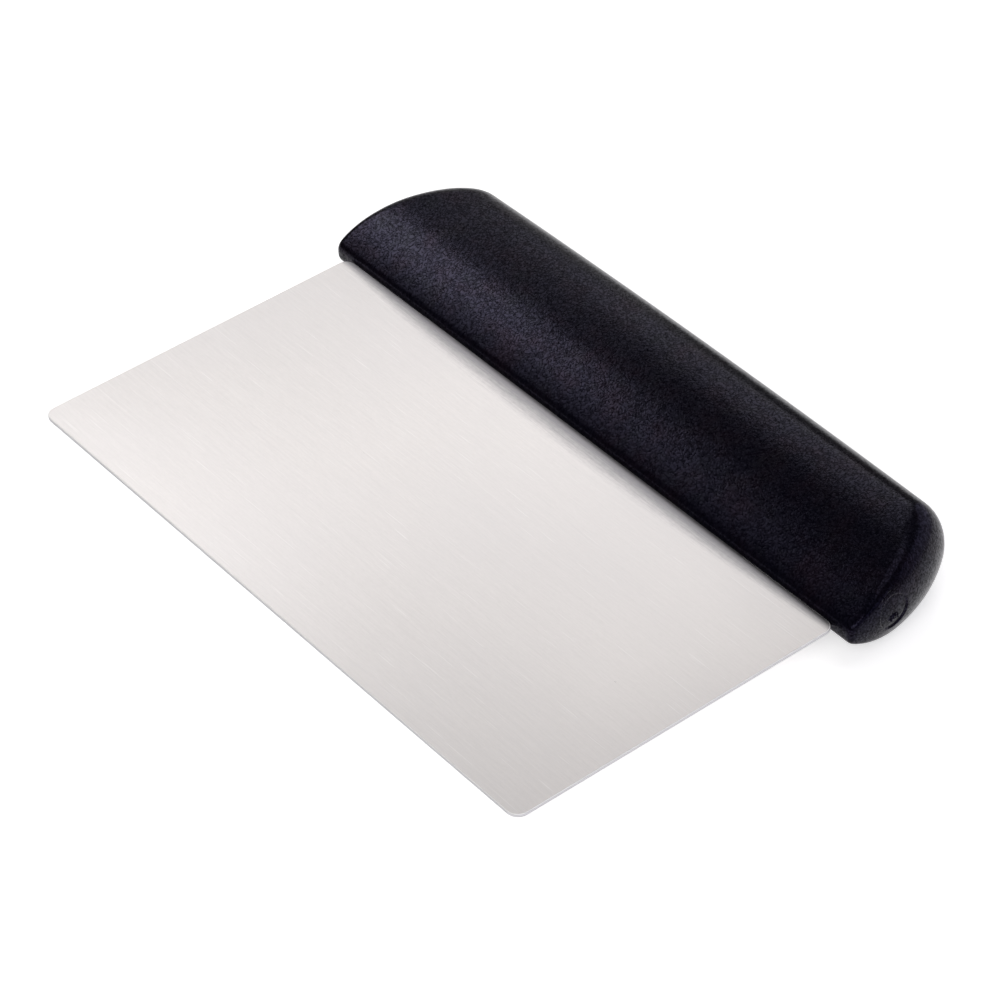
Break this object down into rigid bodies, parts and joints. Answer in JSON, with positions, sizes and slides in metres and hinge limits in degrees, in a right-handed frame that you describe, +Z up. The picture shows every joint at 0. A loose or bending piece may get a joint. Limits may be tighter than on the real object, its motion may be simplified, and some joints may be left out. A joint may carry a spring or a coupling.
{
  "type": "bench scraper",
  "caption": "Bench scraper for dough: a flat rectangular steel blade with rounded corners and a full-width teardrop handle moulded along its back edge.",
  "frame": {"origin": "on the bench below the middle of the whole scraper, as it rests on its cutting edge and the handle's belly", "axes": "+X along the handle and the cutting edge, +Y from the cutting edge towards the handle, +Z up from the bench"},
  "size_m": [0.1624, 0.1132, 0.0192],
  "materials": {
    "blade_steel": "brushed lengthwise, satin",
    "handle_plastic": "moulded, fine leathery grain, matte"
  },
  "bodies": {
    "root": {"blade": "blade_steel", "handle": "handle_plastic"}
  },
  "joints": []
}
